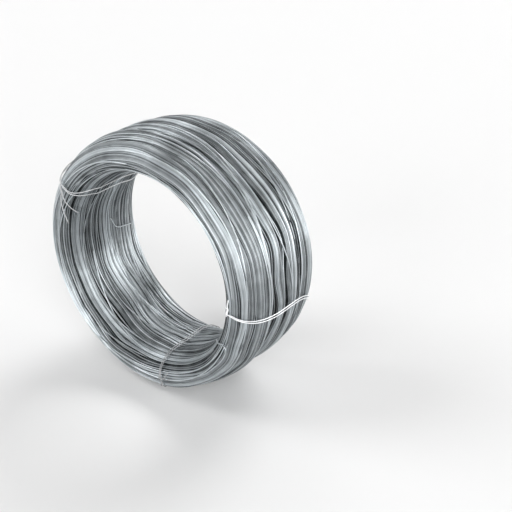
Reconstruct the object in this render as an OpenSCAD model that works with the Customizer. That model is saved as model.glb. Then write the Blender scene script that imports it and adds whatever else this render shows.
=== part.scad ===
// Coil of annealed wire, standing on its rim and held by three wire ties.
// Millimetres. The coil axis runs along Y, the near end is at -Y and the floor is Z = 0.

/* [Coil] */
// clear diameter of the straight part of the bore
bore_d = 310; // [180:1:500]
// depth of the winding, from the bore to the outside
wall = 70; // [45:1:110]
// width of the coil from end to end
coil_w = 188; // [120:1:260]
// distance from the near end to the straight part of the bore
bore_from_end = 48; // [40:1:60]
// length of the straight part of the bore
bore_len = 70; // [40:1:100]
// how far the bore opens toward the far end
far_flare = 24; // [5:1:35]
// how square the rounded section is; 2 is an ellipse
squareness = 2.6; // [2.2:0.1:4]
// diameter of the wound wire
wire_d = 2.2; // [1.6:0.1:4]
// width of a strand, a few turns that lie together
strand_w = 8.4; // [7:0.1:14]

/* [Bundles of turns] */
// distance from the near end to the middle of the deep waist
waist_from_end = 69; // [40:1:100]
// depth of the waist between the near and the far bundle
waist_depth = 9; // [0:0.5:14]
// half width of the waist
waist_half = 11; // [6:0.5:20]
// depth of the shallow grooves inside each bundle
groove_depth = 4; // [0:0.5:6]
// half width of the shallow grooves
groove_half = 6; // [3:0.5:10]
// distances from the near end to the shallow grooves
groove_near = 22; // [10:1:40]
groove_mid = 95; // [80:1:120]
groove_far = 134; // [115:1:160]

/* [Ties] */
// diameter of the tie wire
tie_d = 1.6; // [1:0.1:2]
// gap left between a tie and the turns under it
tie_gap = 0.3; // [0.2:0.05:0.5]
// depth that a tie draws the bore turns in
pinch = 3; // [2.4:0.1:5]
// half width of the drawn-in place
pinch_half = 24; // [18:1:32]
// angles of the ties in the bore, from +X toward the top
upper_angle = 137; // [110:1:160]
side_angle = -9; // [-40:1:30]
lower_angle = -81; // [-86:1:-76]
// half the distance between the two strands: upper and side tie at the far end, lower tie underneath
upper_spread = 9; // [4:0.5:14]
side_spread = 1.5; // [1:0.5:6]
lower_stance = 13; // [10:0.5:18]
// length of the twisted pair at a knot
twist_len = 9; // [6:0.5:14]
// how far the tails of each tie reach past its twisted pair
upper_tail = 50; // [20:1:60]
side_tail = 15; // [9:0.5:24]
lower_tail = 12; // [9:0.5:20]

/* [Hidden] */
$fn = 96;

r_bore = bore_d / 2;
r_out = r_bore + wall;
near_y = -coil_w / 2;

// a strand bulges by one wire between its two edges
strand_r = (strand_w * strand_w / 4 + wire_d * wire_d) / (2 * wire_d);

// The section is a rounded outline. Angle 0 is the middle of the outer side, 90 the far end,
// 180 the bore and -90 the near end. Points are [distance from the axis, y].
function rounded(v) = sign(v) * pow(abs(v), 2 / squareness);
function outline(t) =
    let (
        z = rounded(sin(t)),
        inner = r_bore + far_flare * pow(max(0, z), 2)
    )
    [(r_out + inner) / 2 + (r_out - inner) / 2 * rounded(cos(t)), z * coil_w / 2];
function unit(v) = v / norm(v);
function facing(t) =
    let (along = unit(outline(t + 1) - outline(t - 1)))
    [along[1], -along[0]];

// the strands run from the inner edge of the near end, over the outside, to that of the far end
edge_angle = 146;
span = [for (t = [-edge_angle : 1 : edge_angle]) t];
function grown(i, sum) = sum + norm(outline(span[i]) - outline(span[i - 1]));
reach = [for (i = 0, sum = 0; i < len(span); i = i + 1, sum = i < len(span) ? grown(i, sum) : sum) sum];
angle_at = [for (i = [0 : len(span) - 1]) [reach[i], span[i]]];
full = reach[len(reach) - 1];
strand_count = round(full / strand_w);

// grooves between bundles: place along Y, depth, half width; only the outer half is grooved
grooves = [
    [near_y + groove_near, groove_depth, groove_half],
    [near_y + waist_from_end, waist_depth, waist_half],
    [near_y + groove_mid, groove_depth, groove_half],
    [near_y + groove_far, groove_depth, groove_half]
];
function total(list, i = 0) = i == len(list) ? 0 : list[i] + total(list, i + 1);
function drop(y) = total([for (g = grooves) g[1] * exp(-pow((y - g[0]) / g[2], 2))]);

function strand_at(t) =
    let (c = outline(t) - strand_r * facing(t))
    [c[0] - max(0, cos(t)) * drop(c[1]), c[1]];
strands = [for (i = [0 : strand_count]) strand_at(lookup(i * full / strand_count, angle_at))];

// the straight bore, which leaves room for the far flare, and the inner edges of the two ends
function corner(t) = outline(t) - 0.06 * strand_r * facing(t);
bore_y0 = near_y + bore_from_end;
bore_y1 = min(bore_y0 + bore_len, corner(edge_angle)[1] - strand_w / 2);

// the flares between the edges and the straight bore are strands too
function flare_strands(from, to, side) =
    let (
        along = unit(to - from),
        inward = side * [along[1], -along[0]],
        count = floor(norm(to - from) / strand_w - 0.5)
    )
    [for (i = [1 : 1 : count]) from + i * strand_w * along - strand_r * inward];
far_flares = flare_strands(corner(edge_angle), [r_bore, bore_y1], 1);
near_flares = flare_strands(corner(-edge_angle), [r_bore, bore_y0], -1);
function reversed(list) = [for (i = [len(list) - 1 : -1 : 0]) list[i]];

module section() {
    polygon(concat(strands, far_flares, [[r_bore, bore_y1], [r_bore, bore_y0]], reversed(near_flares)));
    for (s = concat(strands, far_flares, near_flares))
        translate(s) circle(r = strand_r);
}

// a tie's bed: a shallow scoop of this radius along the bore
scoop_r = 1 / (2 * pinch / (pinch_half * pinch_half) + 1 / r_bore);
scoop_at = r_bore + pinch - scoop_r;

module scoop(angle) {
    rotate([0, -angle, 0])
        translate([scoop_at, 0, 0])
        rotate([90, 0, 0])
        cylinder(r = scoop_r, h = coil_w, center = true);
}

// Ties. Their route around the section is a list of [distance from the axis, y, section angle].
lift = tie_gap + tie_d / 2;
step = 7;
// room for the straight stretches between its points, which cut across the curve
slack = 0.1 * tie_d;
function clear_of(t) =
    let (p = outline(t) + (lift + slack) * facing(t))
    [p[0], p[1], t];

// the coil rests on the two strands of the lower tie
foot_r = clear_of(step)[0];
axis_z = sqrt(foot_r * foot_r - lower_stance * lower_stance) + tie_d / 2;

module wire_coil() {
    color([0.60, 0.63, 0.66])
        translate([0, 0, axis_z])
        difference() {
            rotate([90, 0, 0])
                mirror([0, 0, 1])
                rotate_extrude($fn = 180)
                section();
            scoop(upper_angle);
            scoop(side_angle);
            scoop(lower_angle);
        }
}

// a tie's points are [across, along Y, outward] in the plane of its angle
function outward(angle, p) = [
    p[2] * cos(angle) - p[0] * sin(angle),
    p[1],
    p[2] * sin(angle) + p[0] * cos(angle) + axis_z
];

// how far across a tie lies at a section angle, from its places [near end, outside, far end, bore]
function lay(t, places) =
    (cos(t) > 0 ? places[1] : places[3]) * pow(cos(t), 2) + (sin(t) > 0 ? places[2] : places[0]) * pow(sin(t), 2);

// the bed of a tie in its scoop, and where the flares of the bore leave it
function bed(x) = scoop_at + sqrt(scoop_r * scoop_r - x * x) - lift;
function bore_angle(y) = 180 - (180 - edge_angle) * y / corner(edge_angle)[1];
function in_bore(y) = [r_bore, y, bore_angle(y)];
function leaves(from_y, t, places) =
    let (
        c = corner(t),
        f = (bed(lay(bore_angle(from_y), places)) + lift - r_bore) / (c[0] - r_bore)
    )
    in_bore(from_y + f * (c[1] - from_y));

// once around, from the knot; the wire is drawn straight over the middle of the outside
function around(knot, places) = concat(
    [for (t = [knot : step : edge_angle - step / 2]) if (abs(t) > step / 2) clear_of(t)],
    [clear_of(edge_angle)],
    [leaves(bore_y1, edge_angle, places)],
    [in_bore((2 * bore_y1 + bore_y0) / 3), in_bore((bore_y1 + 2 * bore_y0) / 3)],
    [leaves(bore_y0, -edge_angle, places)],
    [for (t = [-edge_angle : step : knot - step / 2]) clear_of(t)],
    [clear_of(knot)]
);

function on_coil(s, x) =
    let (h = sqrt(s[0] * s[0] - x * x))
    [x, s[1], cos(s[2]) >= 0 ? h : s[0] == r_bore ? bed(x) : max(h, bed(x))];

// one turn of a tie, from x0 to x1 at the knot
function tie_turn(x0, x1, knot, places) =
    let (
        route = around(knot, places),
        end = len(route) - 1
    )
    [for (i = [0 : end]) on_coil(route[i], x0 + (x1 - x0) * i / end + lay(route[i][2], places))];

// the two twisted strands stand off the coil, over the strand that passes under them
pair_r = 0.58 * tie_d;
twist_turns = 2;
twist_steps = 16;
function squared(v, t) = unit(v - t * (v * t));

// one of the two twisted strands, from the coil outward; start tells them apart
function twist(base, way, along, start) =
    let (
        side_a = squared(along, way),
        side_b = cross(way, side_a)
    )
    [for (i = [0 : twist_steps])
        let (
            t = i / twist_steps,
            a = start + 360 * twist_turns * t
        )
        base + way * twist_len * t + pair_r * (side_a * cos(a) + side_b * sin(a))];

// a tail sinks toward the coil as it runs on from x, by a length across and a turn of the section angle
tail_steps = 3;
function tail(knot, x, turn, length) =
    [for (i = [1 : tail_steps])
        let (
            f = i / tail_steps,
            t = knot + turn * f,
            p = outline(t) + (lift + slack + tie_d * (2.2 - 1.9 * f)) * facing(t),
            across = x + length * f
        )
        [across, p[1], sqrt(p[0] * p[0] - across * across)]];

// the whole wire of a tie: tail, twist, two turns round the coil, twist, tail
function tie_path(knot, middle, apart, way, tail_a, tail_b) =
    let (
        gap = 1.3 * tie_d,
        off = [0, facing(knot)[1], facing(knot)[0]],
        along = [0, facing(knot)[0], -facing(knot)[1]],
        foot = on_coil(clear_of(knot), lay(knot, middle)),
        base = foot + 2.2 * tie_d * off + 1.5 * tie_d * way,
        tip_x = base[0] + twist_len * way[0],
        twist_a = twist(base, way, along, 0),
        twist_b = twist(base, way, along, 180),
        first = tie_turn(gap, 0, knot, middle + apart),
        second = tie_turn(0, -gap, knot, middle - apart),
        end = len(first) - 1,
        rise = second[end] + 1.3 * tie_d * off - 1.2 * tie_d * along
    )
    concat(
        reversed(tail(knot, tip_x, tail_a[0], tail_a[1])),
        reversed(twist_a),
        [for (i = [1 : end]) first[i]],
        [for (i = [1 : end - 1]) second[i]],
        [rise],
        twist_b,
        tail(knot, tip_x, tail_b[0], tail_b[1])
    );

// a round wire swept along points, its frame carried from ring to ring
wire_sides = 8;
function heading(p, i) =
    unit(p[min(i + 1, len(p) - 1)] - p[max(i - 1, 0)]);
function carried(p) = [
    for (i = 0, n = squared([0.31, 0.17, 0.94], heading(p, 0)); i < len(p);
        i = i + 1, n = i < len(p) ? squared(n, heading(p, i)) : n) n
];

module swept(p, d) {
    normals = carried(p);
    rings = [
        for (i = [0 : len(p) - 1], k = [0 : wire_sides - 1])
            let (a = 360 * k / wire_sides)
            p[i] + d / 2 * (normals[i] * cos(a) + cross(heading(p, i), normals[i]) * sin(a))
    ];
    skin = [
        for (i = [0 : len(p) - 2], k = [0 : wire_sides - 1])
            let (a = i * wire_sides + k, b = i * wire_sides + (k + 1) % wire_sides)
            each [[a, a + wire_sides, b], [b, a + wire_sides, b + wire_sides]]
    ];
    first_cap = [for (k = [0 : wire_sides - 1]) k];
    last_cap = [for (k = [wire_sides - 1 : -1 : 0]) (len(p) - 1) * wire_sides + k];
    polyhedron(points = rings, faces = concat(skin, [first_cap, last_cap]), convexity = 8);
}

module tie(angle, knot, middle, apart, way, tail_a, tail_b) {
    path = tie_path(knot, middle, apart, unit(way), tail_a, tail_b);
    color([0.80, 0.82, 0.83])
        swept([for (p = path) outward(angle, p)], tie_d);
}

module tie_upper() {
    // slanted, its strands well apart, with long tails that hang down the near end
    tie(upper_angle, -84, [23, 12, 42, 0], upper_spread * [0, 0.7, 1, 1.1], [0.62, 0.1, -0.78],
        [-34, upper_tail], [-50, 0.56 * upper_tail]);
}

module tie_side() {
    tie(side_angle, -98, [18, 8, -32, 0], side_spread * [0, 1, 1, 1], [0.95, 0.1, 0],
        [2, side_tail], [-13, 0.3 * side_tail]);
}

module tie_lower() {
    // drawn aside in the bore and at its knot, so that its two strands lie straight under the coil
    under = -foot_r * sin(90 + lower_angle);
    tie(lower_angle, -91, [6, under, -22, 0], lower_stance * [0, 1, 0.25, 0.15], [0.9, 0.15, -0.2],
        [-1, lower_tail], [-15, 0.6 * lower_tail]);
}

wire_coil();
tie_upper();
tie_side();
tie_lower();
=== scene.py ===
"""Looks of the coil of annealed wire: its turns, free ends and ties, with studio light and camera."""

import math

import bpy
import numpy as np
from mathutils import Matrix, Vector


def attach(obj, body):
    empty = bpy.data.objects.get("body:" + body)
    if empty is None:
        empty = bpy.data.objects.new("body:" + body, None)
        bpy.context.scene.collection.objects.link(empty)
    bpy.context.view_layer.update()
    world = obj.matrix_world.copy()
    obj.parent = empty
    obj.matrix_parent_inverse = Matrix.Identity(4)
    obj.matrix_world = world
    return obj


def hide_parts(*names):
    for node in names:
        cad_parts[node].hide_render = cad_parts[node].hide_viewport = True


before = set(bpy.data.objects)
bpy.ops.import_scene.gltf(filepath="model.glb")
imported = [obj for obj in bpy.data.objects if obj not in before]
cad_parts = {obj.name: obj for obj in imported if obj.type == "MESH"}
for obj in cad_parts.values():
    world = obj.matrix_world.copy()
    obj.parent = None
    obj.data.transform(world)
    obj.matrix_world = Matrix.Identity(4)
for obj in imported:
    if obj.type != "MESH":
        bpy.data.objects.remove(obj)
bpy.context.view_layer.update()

# Sizes in millimetres and angles in degrees, the same as in the part's source
MM = 0.001
R_BORE = 155.0
WALL = 70.0
COIL_W = 188.0
BORE_FROM_END = 48.0
BORE_LEN = 70.0
FAR_FLARE = 24.0
SQUARENESS = 2.6
EDGE_ANGLE = 146.0
WIRE_D = 2.2
STRAND_W = 8.4
TIE_D = 1.6
TIE_GAP = 0.3
PINCH = 3.0
PINCH_HALF = 24.0
UPPER_ANGLE = 137.0
SIDE_ANGLE = -9.0
LOWER_ANGLE = -81.0
UPPER_SPREAD = 9.0
SIDE_SPREAD = 1.5
LOWER_STANCE = 13.0
TWIST_LEN = 9.0
UPPER_TAIL = 50.0
SIDE_TAIL = 15.0
LOWER_TAIL = 12.0

# Grooves between bundles: distance from the near end, depth, half width
GROOVES = ((22.0, 4.0, 6.0), (69.0, 9.0, 11.0), (95.0, 4.0, 6.0), (134.0, 4.0, 6.0))

R_OUT = R_BORE + WALL
NEAR_Y = -COIL_W / 2
BORE_Y0 = NEAR_Y + BORE_FROM_END
BORE_Y1 = BORE_Y0 + BORE_LEN
SCOOP_R = 1 / (2 * PINCH / PINCH_HALF**2 + 1 / R_BORE)
SCOOP_AT = R_BORE + PINCH - SCOOP_R
STRAND_R = (STRAND_W**2 / 4 + WIRE_D**2) / (2 * WIRE_D)

# Place at the lower right that is pressed in: angle round the axis, half width, depth, more at the waist
PRESSED_ANGLE = -52.0
PRESSED_HALF = 32.0
PRESSED_DEPTH = 6.0
PRESSED_WAIST = 5.0

# Steps of the section: round its skin, along its closed outline, and how far its corners are softened
SKIN_STEPS = 700
OUTLINE_STEPS = 1200
SOFTEN_REACH = 5
SOFTEN_PASSES = 3
# section angles in degrees of the outer side, and radial part of a normal below which it faces the bore
OUTER_SIDE = 60
INTO_BORE = -0.3
# angle in radians on each side of a tie in which its bed is looked for
BED_REACH = 0.6
# share of a strand's radius by which the inner edges of the ends lie under the outline
EDGE_SINK = 0.06

# Winding: spacing of the turns, points round the ring, sides of a wire
TURN_PITCH = 2.16
TOP_STEPS = 136
TOP_SIDES = 6
SEED = 7

# Strands: fewest turns and one past the most, how deep they lie, how far their edges curve down
STRAND_TURNS = (3, 9)
STRAND_SINK = 0.9
STRAND_CROWN = 2.6
CROWN_POWER = 2.5
# waves per turn and height of the wander of a strand and of each turn in it
STRAND_WAVES = ((1, 0.55), (2, 0.3), (3, 0.25))
TURN_WAVES = ((1, 0.25), (2, 0.2))

# Tone of the turns, from 0 dark to 1 light, and how it differs by strand, by turn and along a turn
TONE = 0.4
STRAND_TONE = 0.12
TURN_TONE = 0.34
TONE_WAVES = ((2, 0.06), (5, 0.05))

# Gaps: widths in a strand, their chance, widths between strands, how many there, half lengths in radians
SMALL_GAP = (0.4, 1.4)
SMALL_GAP_CHANCE = 0.4
WIDE_GAP = (1.8, 5.2)
WIDE_GAP_COUNT = 4
GAP_HALF = (0.2, 0.7)
# gap at a groove as a share of its depth, and its wander
GROOVE_GAP = 0.32
GROOVE_WAVES = ((1, 0.3), (2, 0.3), (3, 0.2))

# The row under the top: sides of a wire, its depth in wires, what a gap adds, and the share of its tone
# kept, as painted shade for the shadow it lies in
ROW_SIDES = 5
ROW_DEPTH = 0.87
ROW_UNDER_GAP = 1.4
ROW_PAINTED_SHADE = 0.4

# Turns that cross the others: how many, their wander across and in depth, and their tones
CROSSING_COUNT = 32
CROSSING_WAVES = ((1, 12.0), (2, 6.0), (3, 2.0))
CROSSING_DEPTHS = ((2, 0.8), (3, 0.7))
CROSSING_TONE = (0.35, 0.9)

# The inside of the winding, a near-black sheet of painted shade: depth under the outline, steps round the
# section, tone
CORE_DEPTH = 6.5
CORE_STEPS = 120
CORE_TONE = 0.5


# The section of the coil

def rounded(v):
    """Sine or cosine of the rounded square that the section is."""
    return np.sign(v) * np.abs(v) ** (2 / SQUARENESS)


def outline(t):
    """Section point at angle t in degrees, as distance from the axis and y; 0 is the outer side."""
    z = rounded(np.sin(np.radians(t)))
    inner = R_BORE + FAR_FLARE * np.maximum(0, z) ** 2
    rho = (R_OUT + inner) / 2 + (R_OUT - inner) / 2 * rounded(np.cos(np.radians(t)))
    return np.stack([rho, z * COIL_W / 2], axis=-1)


def facing(t):
    """Direction away from the section at angle t."""
    along = outline(t + 1) - outline(t - 1)
    along = along / np.linalg.norm(along, axis=-1, keepdims=True)
    return np.stack([along[..., 1], -along[..., 0]], axis=-1)


def corner(t):
    """Inner edge of an end of the coil, where its flare into the bore starts."""
    return outline(t) - EDGE_SINK * STRAND_R * facing(t)


def drop(y):
    """How deep the grooves lie at y."""
    return sum(depth * np.exp(-(((y - NEAR_Y - place) / half) ** 2)) for place, depth, half in GROOVES)


# Line of a tie: its height over the coil, what it has more on the outline, degrees of section in a step
LIFT = TIE_GAP + TIE_D / 2
SLACK = 0.1 * TIE_D
TIE_STEP = 7.0
# distance of that line from the axis on the outside, and height of the axis with the lower tie on the floor
FOOT_R = (outline(TIE_STEP) + (LIFT + SLACK) * facing(TIE_STEP))[0]
AXIS_Z = math.sqrt(FOOT_R**2 - LOWER_STANCE**2) + TIE_D / 2


class Section:
    """The closed outline of the coil's section at even steps, with the places of its grooves."""

    def __init__(self):
        self.angles = np.linspace(-EDGE_ANGLE, EDGE_ANGLE, SKIN_STEPS)
        skin = outline(self.angles)
        groove_y = [NEAR_Y + groove[0] for groove in GROOVES]
        skin[:, 0] -= np.maximum(0, np.cos(np.radians(self.angles))) * drop(skin[:, 1])
        loop = np.concatenate([skin, [[R_BORE, BORE_Y1], [R_BORE, BORE_Y0]], skin[:1]])
        self.grown = np.concatenate([[0], np.cumsum(np.linalg.norm(np.diff(loop, axis=0), axis=1))])
        self.bore_y = loop[len(skin) - 1:, 1]
        self.length = self.grown[-1]
        self.place = np.linspace(0, self.length, OUTLINE_STEPS, endpoint=False)
        points = np.stack([np.interp(self.place, self.grown, loop[:, k]) for k in (0, 1)], axis=1)
        shifts = range(-SOFTEN_REACH, SOFTEN_REACH + 1)
        for _ in range(SOFTEN_PASSES):
            points = sum(np.roll(points, k, axis=0) for k in shifts) / len(shifts)
        along = np.roll(points, -1, axis=0) - np.roll(points, 1, axis=0)
        along = along / np.linalg.norm(along, axis=1, keepdims=True)
        self.points = points
        self.normals = np.stack([along[:, 1], -along[:, 0]], axis=1)
        outer = np.abs(self.angles) < OUTER_SIDE
        self.grooves = np.interp(groove_y, skin[outer, 1], self.grown[: len(skin)][outer])

    def place_at(self, t):
        """Place along the outline at a section angle, on the outside and the two ends."""
        return np.interp(t, self.angles, self.grown[: len(self.angles)])

    def bore_place(self, y):
        """Place along the outline at y, on the bore side."""
        return np.interp(-np.asarray(y), -self.bore_y, self.grown[len(self.angles) - 1:])

    def look_up(self, place, table):
        """Values of a table of the outline at places along it."""
        return np.interp(place, self.place, table, period=self.length)

    def ring_points(self, place, depth, phi):
        """Points in space at places on the section, sunk by depth, at angles round the axis."""
        rho, y = (self.look_up(place, self.points[:, k]) for k in (0, 1))
        n_rho, n_y = (self.look_up(place, self.normals[:, k]) for k in (0, 1))
        rho = rho - depth * n_rho - drawn_in(y, phi) * np.maximum(0, n_rho)
        y = y - depth * n_y
        rho = np.where(n_rho < INTO_BORE, np.maximum(rho, scoop_radius(phi) + depth), rho)
        return np.stack(np.broadcast_arrays(rho * np.cos(phi), y, AXIS_Z + rho * np.sin(phi)), axis=-1)


def drawn_in(y, phi):
    """How far the outer turns are pressed in at the lower right, most at the waist."""
    off = np.minimum(np.abs(turned_by(phi, math.radians(PRESSED_ANGLE))) / math.radians(PRESSED_HALF), 1)
    waist_y, waist_half = NEAR_Y + GROOVES[1][0], GROOVES[1][2]
    at_waist = np.exp(-(((y - waist_y) / waist_half) ** 2))
    return np.cos(off * math.pi / 2) ** 2 * (PRESSED_DEPTH + PRESSED_WAIST * at_waist)


def scoop_radius(phi):
    """Distance of a tie's bed in the bore from the axis, and 0 away from the ties."""
    found = np.zeros_like(phi)
    for angle in (UPPER_ANGLE, SIDE_ANGLE, LOWER_ANGLE):
        off = turned_by(phi, math.radians(angle))
        reach = SCOOP_R**2 - (SCOOP_AT * np.sin(off)) ** 2
        bed = SCOOP_AT * np.cos(off) + np.sqrt(np.maximum(0, reach))
        found = np.where((np.abs(off) < BED_REACH) & (reach > 0), np.maximum(found, bed), found)
    return found


def turned_by(phi, start):
    """Signed angle from start to phi, within half a turn."""
    return np.angle(np.exp(1j * (phi - start)))


# Meshes

def new_piece(name, points, faces, material, tone):
    """A smooth mesh that rides on the part's one body, with a tone at each point for its material."""
    mesh = bpy.data.meshes.new(name)
    mesh.from_pydata((points * MM).tolist(), [], faces)
    mesh.polygons.foreach_set("use_smooth", np.ones(len(mesh.polygons), dtype=bool))
    mesh.attributes.new("tone", "FLOAT", "POINT").data.foreach_set("value", tone.astype(np.float32))
    mesh.materials.append(material)
    mesh.update()
    piece = bpy.data.objects.new(name, mesh)
    bpy.context.scene.collection.objects.link(piece)
    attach(piece, "root")
    return piece


def unit(v):
    """Vectors of length 1."""
    return v / np.linalg.norm(v, axis=-1, keepdims=True)


def swept_rings(centres, radius, sides):
    """Points and faces of closed round wires; centres holds one row of points for each wire."""
    along = unit(np.roll(centres, -1, axis=1) - np.roll(centres, 1, axis=1))
    out = unit(np.cross(np.array([0.0, 1.0, 0.0]), along))
    side = np.cross(along, out)
    turn = np.arange(sides) * 2 * math.pi / sides
    spread = out[:, :, None] * np.cos(turn)[:, None] + side[:, :, None] * np.sin(turn)[:, None]
    points = centres[:, :, None] + radius * spread
    index = np.arange(points.size // 3).reshape(points.shape[:3])
    ahead = np.roll(index, -1, axis=1)
    faces = np.stack([index, np.roll(index, -1, axis=2), np.roll(ahead, -1, axis=2), ahead], axis=-1)
    return points.reshape(-1, 3), faces.reshape(-1, 4).tolist()


# A direction that no wire starts along
ODD_WAY = (0.31, 0.17, 0.94)


def swept_wire(path, radius, sides):
    """Points and faces of one open round wire with flat ends."""
    along = unit(np.gradient(path, axis=0))
    out = [unit(np.cross(along[0], ODD_WAY))]
    for step in along[1:]:
        out.append(unit(out[-1] - step * (out[-1] @ step)))
    out = np.array(out)
    side = np.cross(along, out)
    turn = np.arange(sides) * 2 * math.pi / sides
    spread = out[:, None] * np.cos(turn)[:, None] + side[:, None] * np.sin(turn)[:, None]
    points = path[:, None] + radius * spread
    index = np.arange(len(path) * sides).reshape(len(path), sides)
    near, far = index[:-1], index[1:]
    faces = np.stack([near, np.roll(near, -1, axis=1), np.roll(far, -1, axis=1), far], axis=-1)
    caps = [index[0, ::-1].tolist(), index[-1].tolist()]
    return points.reshape(-1, 3), faces.reshape(-1, 4).tolist() + caps


def smooth_path(points, steps):
    """A round curve through the points, with so many steps between each two."""
    p = np.concatenate([[2 * points[0] - points[1]], points, [2 * points[-1] - points[-2]]])
    t = (np.arange(steps) / steps)[:, None]
    found = []
    for a, b, c, d in zip(p[:-3], p[1:-2], p[2:-1], p[3:]):
        square = 2 * a - 5 * b + 4 * c - d
        cube = 3 * b - a - 3 * c + d
        found.append(0.5 * (2 * b + (c - a) * t + square * t**2 + cube * t**3))
    return np.concatenate(found + [points[-1:]])


# The winding

def wander(rng, phi, *parts):
    """A smooth closed wander round the ring; each part is waves per turn and height."""
    return sum(height * np.sin(waves * phi + rng.uniform(0, 2 * math.pi)) for waves, height in parts)


def lens(rng, phi, widths, halves):
    """A gap that opens and closes again along the ring."""
    off = turned_by(phi, rng.uniform(-math.pi, math.pi)) / rng.uniform(*halves)
    return rng.uniform(*widths) * np.cos(np.minimum(np.abs(off), 1) * math.pi / 2) ** 2


def lay_turns(rng, section, phi):
    """Places, depths and tones of the turns on top, which lie in strands, and the gaps between them."""
    count = round(section.length / TURN_PITCH)
    strand_ends = np.cumsum(rng.integers(*STRAND_TURNS, count))
    strand_ends = np.append(strand_ends[strand_ends <= count - STRAND_TURNS[0]], count)
    split = [int(count * groove / section.length) for groove in section.grooves]
    gaps = np.zeros((count, len(phi)))
    depth = np.zeros((count, len(phi)))
    tone = np.zeros((count, len(phi)))
    start = 0
    for end in strand_ends:
        sunk = STRAND_SINK + wander(rng, phi, *STRAND_WAVES)
        strand_tone = rng.uniform(-STRAND_TONE, STRAND_TONE)
        for k in range(start, end):
            u = (2 * (k - start) + 1) / (end - start) - 1
            own = np.abs(wander(rng, phi, *TURN_WAVES))
            depth[k] = WIRE_D / 2 + np.maximum(0, sunk) + STRAND_CROWN * abs(u) ** CROWN_POWER + own
            turn_tone = rng.uniform(-TURN_TONE, TURN_TONE)
            tone[k] = TONE + strand_tone + turn_tone + wander(rng, phi, *TONE_WAVES)
            if rng.random() < SMALL_GAP_CHANCE:
                gaps[k] += lens(rng, phi, SMALL_GAP, GAP_HALF)
        for _ in range(WIDE_GAP_COUNT):
            gaps[end - 1] += lens(rng, phi, WIDE_GAP, GAP_HALF)
        start = end
    for k, (_, groove_depth, _) in zip(split, GROOVES):
        gaps[k] += GROOVE_GAP * groove_depth * (1 + wander(rng, phi, *GROOVE_WAVES))
    spacing = TURN_PITCH + gaps
    place = np.cumsum(spacing, axis=0) - spacing / 2
    return place * section.length / spacing.sum(axis=0), depth, tone, gaps


def ring_piece(name, section, place, depth, tone, phi, sides, material):
    """Many closed turns of wire as one piece."""
    points, faces = swept_rings(section.ring_points(place, depth, phi[None]), WIRE_D / 2, sides)
    return new_piece(name, points, faces, material, np.repeat(tone, sides))


def wind_coil(section, wire, dark):
    """The coil: turns on top in two pieces, a row under them darkened as painted shade, turns that cross,
    the inside as a sheet of painted shade, free ends.
    """
    rng = np.random.default_rng(SEED)
    phi = np.arange(TOP_STEPS) * 2 * math.pi / TOP_STEPS
    place, depth, tone, gaps = lay_turns(rng, section, phi)
    # two pieces: the near end and the outside, then the far end and the bore
    half = len(place) // 2
    first, rest = np.s_[:half], np.s_[half:]
    # the row below lies between the turns on top, deeper under a gap, with half as many points
    row = np.s_[:-1, ::2]
    row_place = (place[:-1, ::2] + place[1:, ::2]) / 2
    row_depth = (depth[:-1, ::2] + depth[1:, ::2]) / 2 + ROW_DEPTH * WIRE_D + ROW_UNDER_GAP * gaps[row]
    # painted shade: the row's tone is cut to a share, darker as if in the shadow of the turns on top
    row_shaded_tone = tone[row] * ROW_PAINTED_SHADE
    crossing = []
    for _ in range(CROSSING_COUNT):
        across = rng.uniform(0, section.length) + wander(rng, phi, *CROSSING_WAVES)
        sunk = WIRE_D / 2 + np.abs(wander(rng, phi, *CROSSING_DEPTHS))
        crossing.append((across, sunk, np.full(len(phi), rng.uniform(*CROSSING_TONE))))
    cross_place, cross_depth, cross_tone = (np.array(column) for column in zip(*crossing))
    pieces = [
        ring_piece("turns_outside", section, place[first], depth[first], tone[first], phi, TOP_SIDES, wire),
        ring_piece("turns_inside", section, place[rest], depth[rest], tone[rest], phi, TOP_SIDES, wire),
        ring_piece("turns_under", section, row_place, row_depth, row_shaded_tone, phi[::2], ROW_SIDES, wire),
        ring_piece("turns_crossing", section, cross_place, cross_depth, cross_tone, phi, TOP_SIDES, wire),
        core_piece(section, phi, dark),
        free_ends(section, wire),
    ]
    for piece in pieces:
        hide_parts("wire_coil")


def core_piece(section, phi, dark):
    """Painted shade: a near-black, dull sheet under the turns that stands for the unlit inside of the
    winding, seen only through its gaps.
    """
    place = np.linspace(0, section.length, CORE_STEPS, endpoint=False)
    points = section.ring_points(place[:, None], CORE_DEPTH, phi[None])
    index = np.arange(points.size // 3).reshape(points.shape[:2])
    ahead = np.roll(index, -1, axis=1)
    faces = np.stack([index, np.roll(index, -1, axis=0), np.roll(ahead, -1, axis=0), ahead], axis=-1)
    tone = np.full(index.size, CORE_TONE)
    return new_piece("painted_shade_inside", points.reshape(-1, 3), faces.reshape(-1, 4).tolist(), dark, tone)


# Free ends of the wire: angle round the axis, place (y in the bore or section angle), height over the turns
START_END = ((172, 2, -4.0), (177.5, 8, 0.4), (179.5, 15, 1.3), (181.5, 36, 1.6), (183.5, 57, 1.8))
HOOKED_END = (
    (-37, -146, -2.5), (-33.5, -142, 0.5), (-30.5, -136, 1.4), (-24.5, -112, 1.6), (-21.5, -98, 1.8),
    (-22, -90, 2.2), (-24.5, -87, 2.6),
)
END_STEPS = 6
END_TONE = 0.6


def free_ends(section, wire):
    """The inner end bent across the bore, and the outer end hooked over the near end."""
    points, faces = np.zeros((0, 3)), []
    for plan, find_place in ((START_END, section.bore_place), (HOOKED_END, section.place_at)):
        angle, along, height = np.array(plan, dtype=float).T
        path = section.ring_points(find_place(along), -height, np.radians(angle))
        more, sides = swept_wire(smooth_path(path, END_STEPS), WIRE_D / 2, TOP_SIDES)
        faces += [[i + len(points) for i in face] for face in sides]
        points = np.concatenate([points, more])
    return new_piece("free_ends", points, faces, wire, np.full(len(points), END_TONE))


# The ties

TWIST_TURNS = 2
TWIST_STEPS = 16
TAIL_STEPS = 3
PAIR_R = 0.58 * TIE_D
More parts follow.
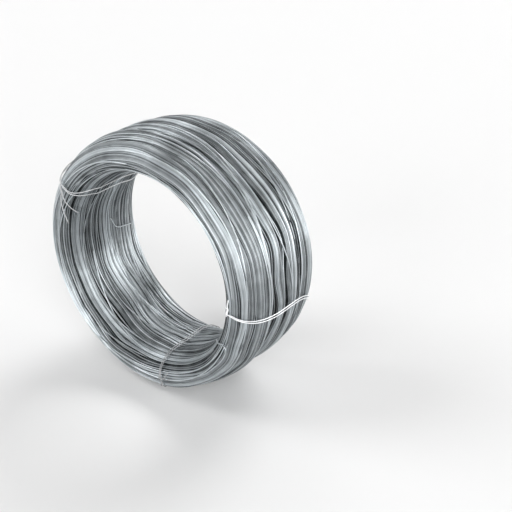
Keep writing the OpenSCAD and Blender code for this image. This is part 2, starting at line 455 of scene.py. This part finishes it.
# the twist starts this far off the coil and this far on from the knot
KNOT_OFF = 2.2 * TIE_D
KNOT_ON = 1.5 * TIE_D
# distance between the two turns of a tie at its knot
TURN_GAP = 1.3 * TIE_D
# where the second turn rises to the twist: off the coil, and back along the tie
RISE_OFF = 1.3 * TIE_D
RISE_BACK = 1.2 * TIE_D
# height of a tail over the coil in wires at the twist, and how much of it is gone at the tip
TAIL_HEIGHT = 2.2
TAIL_SINKS = 1.9
# steps between two points of a tie, and sides of its wire
TIE_PATH_STEPS = 3
TIE_SIDES = 10


def cos_sin(t):
    """Cosine and sine of an angle in degrees."""
    return math.cos(math.radians(t)), math.sin(math.radians(t))


def clear_of(t):
    """Point of a tie's line over the outline: distance from the axis, y, section angle."""
    rho, y = outline(t) + (LIFT + SLACK) * facing(t)
    return [rho, y, t]


def lay(t, places):
    """How far across a tie lies at a section angle, from its places near, outside, far and in the bore."""
    near, outside, far, bore = places
    c, s = cos_sin(t)
    return (outside if c > 0 else bore) * c * c + (far if s > 0 else near) * s * s


def bed(x):
    """Height of a tie's line in its bed in the bore, at x across it."""
    return SCOOP_AT + math.sqrt(SCOOP_R**2 - x * x) - LIFT


def in_bore(y):
    """Point of a tie's line on the straight bore: distance from the axis, y, section angle."""
    return [R_BORE, y, 180 - (180 - EDGE_ANGLE) * y / corner(EDGE_ANGLE)[1]]


def leaves(from_y, t, places):
    """Where the flare of the bore leaves a tie's bed."""
    c = corner(t)
    share = (bed(lay(in_bore(from_y)[2], places)) + LIFT - R_BORE) / (c[0] - R_BORE)
    return in_bore(from_y + share * (c[1] - from_y))


def around(knot, places):
    """The line of a tie once round the section from its knot, straight over the middle of the outside."""
    over = np.arange(knot, EDGE_ANGLE - TIE_STEP / 2, TIE_STEP)
    route = [clear_of(t) for t in over if abs(t) > TIE_STEP / 2]
    route += [clear_of(EDGE_ANGLE), leaves(BORE_Y1, EDGE_ANGLE, places)]
    route += [in_bore((2 * BORE_Y1 + BORE_Y0) / 3), in_bore((BORE_Y1 + 2 * BORE_Y0) / 3)]
    route.append(leaves(BORE_Y0, -EDGE_ANGLE, places))
    route += [clear_of(t) for t in np.arange(-EDGE_ANGLE, knot - TIE_STEP / 2, TIE_STEP)]
    return route + [clear_of(knot)]


def on_coil(spot, x):
    """Point of a tie's line: x across the tie, y, and height out from the axis."""
    rho, y, t = spot
    height = math.sqrt(rho * rho - x * x)
    if cos_sin(t)[0] < 0:
        height = bed(x) if rho == R_BORE else max(height, bed(x))
    return np.array([x, y, height])


def tie_turn(x0, x1, knot, places):
    """One turn of a tie round the section, which moves from x0 to x1 across."""
    route = around(knot, places)
    end = len(route) - 1
    return [on_coil(s, x0 + (x1 - x0) * i / end + lay(s[2], places)) for i, s in enumerate(route)]


def tail(knot, x, turn, length):
    """A tail that sinks toward the coil as it runs on."""
    found = []
    for i in range(1, TAIL_STEPS + 1):
        f = i / TAIL_STEPS
        t = knot + turn * f
        rho, y = outline(t) + (LIFT + SLACK + TIE_D * (TAIL_HEIGHT - TAIL_SINKS * f)) * facing(t)
        across = x + length * f
        found.append(np.array([across, y, math.sqrt(rho**2 - across**2)]))
    return found


def tie_path(knot, middle, apart, way, tail_a, tail_b):
    """The whole wire of a tie: tail, twist, two turns round the coil, twist, tail."""
    face = facing(knot)
    off = np.array([0, face[1], face[0]])
    along = np.array([0, face[0], -face[1]])
    way = unit(np.array(way))
    side_a = unit(along - way * (along @ way))
    side_b = np.cross(way, side_a)
    base = on_coil(clear_of(knot), lay(knot, middle)) + KNOT_OFF * off + KNOT_ON * way
    tip_x = base[0] + TWIST_LEN * way[0]

    def twist(start):
        found = []
        for i in range(TWIST_STEPS + 1):
            t = i / TWIST_STEPS
            a = start + 2 * math.pi * TWIST_TURNS * t
            found.append(base + way * TWIST_LEN * t + PAIR_R * (side_a * math.cos(a) + side_b * math.sin(a)))
        return found

    twist_a, twist_b = twist(0), twist(math.pi)
    first = tie_turn(TURN_GAP, 0, knot, [m + a for m, a in zip(middle, apart)])
    second = tie_turn(0, -TURN_GAP, knot, [m - a for m, a in zip(middle, apart)])
    rise = second[-1] + RISE_OFF * off - RISE_BACK * along
    start, end = tail(knot, tip_x, *tail_a), tail(knot, tip_x, *tail_b)
    return np.array(start[::-1] + twist_a[::-1] + first[1:] + second[1:-1] + [rise] + twist_b + end)


def outward(angle, path):
    """Carries a tie's points to its angle round the axis."""
    c, s = cos_sin(angle)
    x = path[:, 2] * c - path[:, 0] * s
    z = path[:, 2] * s + path[:, 0] * c + AXIS_Z
    return np.stack([x, path[:, 1], z], axis=1)


def shares(size, *parts):
    """Parts of a size."""
    return [size * part for part in parts]


def make_ties(material):
    """The three ties, each one wire."""
    under = -FOOT_R * cos_sin(90 + LOWER_ANGLE)[1]
    # node: tone, angle, knot, places of the middle, half spreads, way of the twist, two tails
    plans = {
        "tie_upper": (0.5, UPPER_ANGLE, -84, (23, 12, 42, 0), shares(UPPER_SPREAD, 0, 0.7, 1, 1.1),
                      (0.62, 0.1, -0.78), (-34, UPPER_TAIL), (-50, 0.56 * UPPER_TAIL)),
        "tie_side": (1.0, SIDE_ANGLE, -98, (18, 8, -32, 0), shares(SIDE_SPREAD, 0, 1, 1, 1),
                     (0.95, 0.1, 0), (2, SIDE_TAIL), (-13, 0.3 * SIDE_TAIL)),
        "tie_lower": (0.25, LOWER_ANGLE, -91, (6, under, -22, 0), shares(LOWER_STANCE, 0, 1, 0.25, 0.15),
                      (0.9, 0.15, -0.2), (-1, LOWER_TAIL), (-15, 0.6 * LOWER_TAIL)),
    }
    for node, (tone, angle, *plan) in plans.items():
        path = smooth_path(outward(angle, tie_path(*plan)), TIE_PATH_STEPS)
        points, faces = swept_wire(path, TIE_D / 2, TIE_SIDES)
        piece = new_piece(node + "_wire", points, faces, material, np.full(len(points), tone))
        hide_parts(node)


# Materials: size and detail of the bloom on the wire and what it adds to the tone, range of roughness
BLOOM_SCALE = 45.0
BLOOM_DETAIL = 4.0
BLOOM_SHARE = 0.4
ROUGHNESS_RANGE = 0.06
# fine grain of the drawn skin: size, strength and height in metres
GRAIN_SCALE = 900.0
GRAIN_STRENGTH = 0.08
GRAIN_HEIGHT = 0.0002


def metal(name, dark, light, roughness, metallic):
    """Drawn metal wire: tone differs from turn to turn, with a faint bloom along it."""
    material = bpy.data.materials.new(name)
    material.use_nodes = True
    nodes, links = material.node_tree.nodes, material.node_tree.links
    shader = nodes["Principled BSDF"]
    shader.inputs["Metallic"].default_value = metallic
    place = nodes.new("ShaderNodeTexCoord")
    bloom = nodes.new("ShaderNodeTexNoise")
    bloom.inputs["Scale"].default_value = BLOOM_SCALE
    bloom.inputs["Detail"].default_value = BLOOM_DETAIL
    links.new(place.outputs["Object"], bloom.inputs["Vector"])
    tone = nodes.new("ShaderNodeAttribute")
    tone.attribute_name = "tone"
    mixed = nodes.new("ShaderNodeMath")
    mixed.operation = "MULTIPLY_ADD"
    mixed.inputs[1].default_value = BLOOM_SHARE
    links.new(bloom.outputs["Fac"], mixed.inputs[0])
    lowered = nodes.new("ShaderNodeMath")
    lowered.operation = "SUBTRACT"
    lowered.inputs[1].default_value = BLOOM_SHARE / 2
    links.new(tone.outputs["Fac"], lowered.inputs[0])
    links.new(lowered.outputs[0], mixed.inputs[2])
    colour = nodes.new("ShaderNodeMix")
    colour.data_type = "RGBA"
    colour.inputs["A"].default_value = (*dark, 1)
    colour.inputs["B"].default_value = (*light, 1)
    links.new(mixed.outputs[0], colour.inputs["Factor"])
    links.new(colour.outputs["Result"], shader.inputs["Base Color"])
    rough = nodes.new("ShaderNodeMapRange")
    rough.inputs["To Min"].default_value = roughness + ROUGHNESS_RANGE
    rough.inputs["To Max"].default_value = roughness - ROUGHNESS_RANGE
    links.new(mixed.outputs[0], rough.inputs["Value"])
    links.new(rough.outputs["Result"], shader.inputs["Roughness"])
    grain = nodes.new("ShaderNodeTexNoise")
    grain.inputs["Scale"].default_value = GRAIN_SCALE
    links.new(place.outputs["Object"], grain.inputs["Vector"])
    bump = nodes.new("ShaderNodeBump")
    bump.inputs["Strength"].default_value = GRAIN_STRENGTH
    bump.inputs["Distance"].default_value = GRAIN_HEIGHT
    links.new(grain.outputs["Fac"], bump.inputs["Height"])
    links.new(bump.outputs["Normal"], shader.inputs["Normal"])
    return material


def plain(name, colour, roughness):
    """One plain colour, for the stage."""
    material = bpy.data.materials.new(name)
    material.use_nodes = True
    shader = material.node_tree.nodes["Principled BSDF"]
    shader.inputs["Base Color"].default_value = (*colour, 1)
    shader.inputs["Roughness"].default_value = roughness
    return material


# Stage: half the side of the floor in metres, its colour and roughness
FLOOR_HALF = 15.0
FLOOR_COLOUR = (0.8, 0.8, 0.8)
FLOOR_ROUGHNESS = 0.9
# the studio's white walls end and its dim ceiling starts at these heights of a unit direction
WALLS_END = 0.25
CEILING_STARTS = 0.5
# and these are the levels of their light
WALLS_LEVEL = 1.0
CEILING_LEVEL = 0.05
# lamps: name, direction in which the coil sees it, strength; all of one angular size in degrees
LAMP_SIZE = 30
LAMPS = (
    ("key", (0.61, -0.456, 0.65), 0.8),
    ("left_front", (-0.65, -0.4, 0.65), 1.1),
    ("back_left", (-0.5, 0.5, 0.7), 0.4),
    ("back", (0.0, 0.7, 0.7), 1.4),
    ("front_low", (0.0, -0.95, 0.25), 1.2),
    ("right", (0.8, -0.55, 0.22), 0.9),
    ("right_back", (0.74, 0.65, 0.17), 1.2),
)


def make_floor():
    """A wide pale floor, which isn't part of the coil."""
    mesh = bpy.data.meshes.new("floor")
    corners = [(x * FLOOR_HALF, y * FLOOR_HALF, 0) for x, y in ((-1, -1), (1, -1), (1, 1), (-1, 1))]
    mesh.from_pydata(corners, [], [(0, 1, 2, 3)])
    mesh.materials.append(plain("floor_white", FLOOR_COLOUR, FLOOR_ROUGHNESS))
    floor = bpy.data.objects.new("floor", mesh)
    bpy.context.scene.collection.objects.link(floor)


def make_world():
    """A plain studio: white walls all round under a dim ceiling."""
    world = bpy.data.worlds.new("studio")
    bpy.context.scene.world = world
    world.use_nodes = True
    nodes, links = world.node_tree.nodes, world.node_tree.links
    nodes.clear()
    way = nodes.new("ShaderNodeTexCoord")
    split = nodes.new("ShaderNodeSeparateXYZ")
    links.new(way.outputs["Generated"], split.inputs[0])
    height = nodes.new("ShaderNodeMapRange")
    height.interpolation_type = "SMOOTHSTEP"
    height.inputs["From Min"].default_value = WALLS_END
    height.inputs["From Max"].default_value = CEILING_STARTS
    height.inputs["To Min"].default_value = WALLS_LEVEL
    height.inputs["To Max"].default_value = CEILING_LEVEL
    links.new(split.outputs["Z"], height.inputs["Value"])
    sky = nodes.new("ShaderNodeBackground")
    sky.inputs["Color"].default_value = (1, 1, 1, 1)
    links.new(height.outputs["Result"], sky.inputs["Strength"])
    out = nodes.new("ShaderNodeOutputWorld")
    links.new(sky.outputs["Background"], out.inputs["Surface"])


def soft_lamp(name, toward, strength):
    """A wide distant lamp, seen from the coil in the given direction."""
    lamp = bpy.data.lights.new(name, "SUN")
    lamp.angle = math.radians(LAMP_SIZE)
    lamp.energy = strength
    light = bpy.data.objects.new(name, lamp)
    light.rotation_euler = Vector(toward).to_track_quat("Z", "Y").to_euler()
    bpy.context.scene.collection.objects.link(light)


# Camera: place from the middle of the coil in millimetres, turn and height of its view, lens and sensor
CAMERA_FROM_COIL = (763.6, -829.7, 559.2)
CAMERA_AZIMUTH = 35.88
CAMERA_ELEVATION = 26.76
CAMERA_LENS = 52.43
CAMERA_SENSOR = 36.0


def make_camera():
    """The camera at the photograph's place."""
    data = bpy.data.cameras.new("camera")
    data.sensor_width = CAMERA_SENSOR
    data.lens = CAMERA_LENS
    camera = bpy.data.objects.new("camera", data)
    az, el = math.radians(CAMERA_AZIMUTH), math.radians(CAMERA_ELEVATION)
    back = Vector((math.sin(az) * math.cos(el), -math.cos(az) * math.cos(el), math.sin(el)))
    right = Vector((math.cos(az), math.sin(az), 0))
    turned = Matrix((right, back.cross(right), back)).transposed().to_4x4()
    place = (Vector(CAMERA_FROM_COIL) + Vector((0, 0, AXIS_Z))) * MM
    camera.matrix_world = Matrix.Translation(place) @ turned
    bpy.context.scene.collection.objects.link(camera)
    bpy.context.scene.camera = camera


# Materials of the part: name, dark and light colour, roughness, metallic
WIRE = metal("drawn_wire", (0.018, 0.022, 0.023), (0.69, 0.74, 0.77), 0.36, 1.0)
TIE_WIRE = metal("tie_wire", (0.16, 0.165, 0.17), (0.9, 0.91, 0.92), 0.4, 0.4)
# painted shade: near-black and dull, standing for the unlit depth of the winding seen through its gaps, not
# a colour of the wire
PAINTED_SHADE = metal("unlit_inside", (0.004, 0.005, 0.005), (0.02, 0.021, 0.023), 0.75, 0.0)

wind_coil(Section(), WIRE, PAINTED_SHADE)
make_ties(TIE_WIRE)
make_floor()
make_world()
for lamp_plan in LAMPS:
    soft_lamp(*lamp_plan)
make_camera()
bpy.context.scene.view_settings.view_transform = "Standard"

bpy.context.view_layer.update()
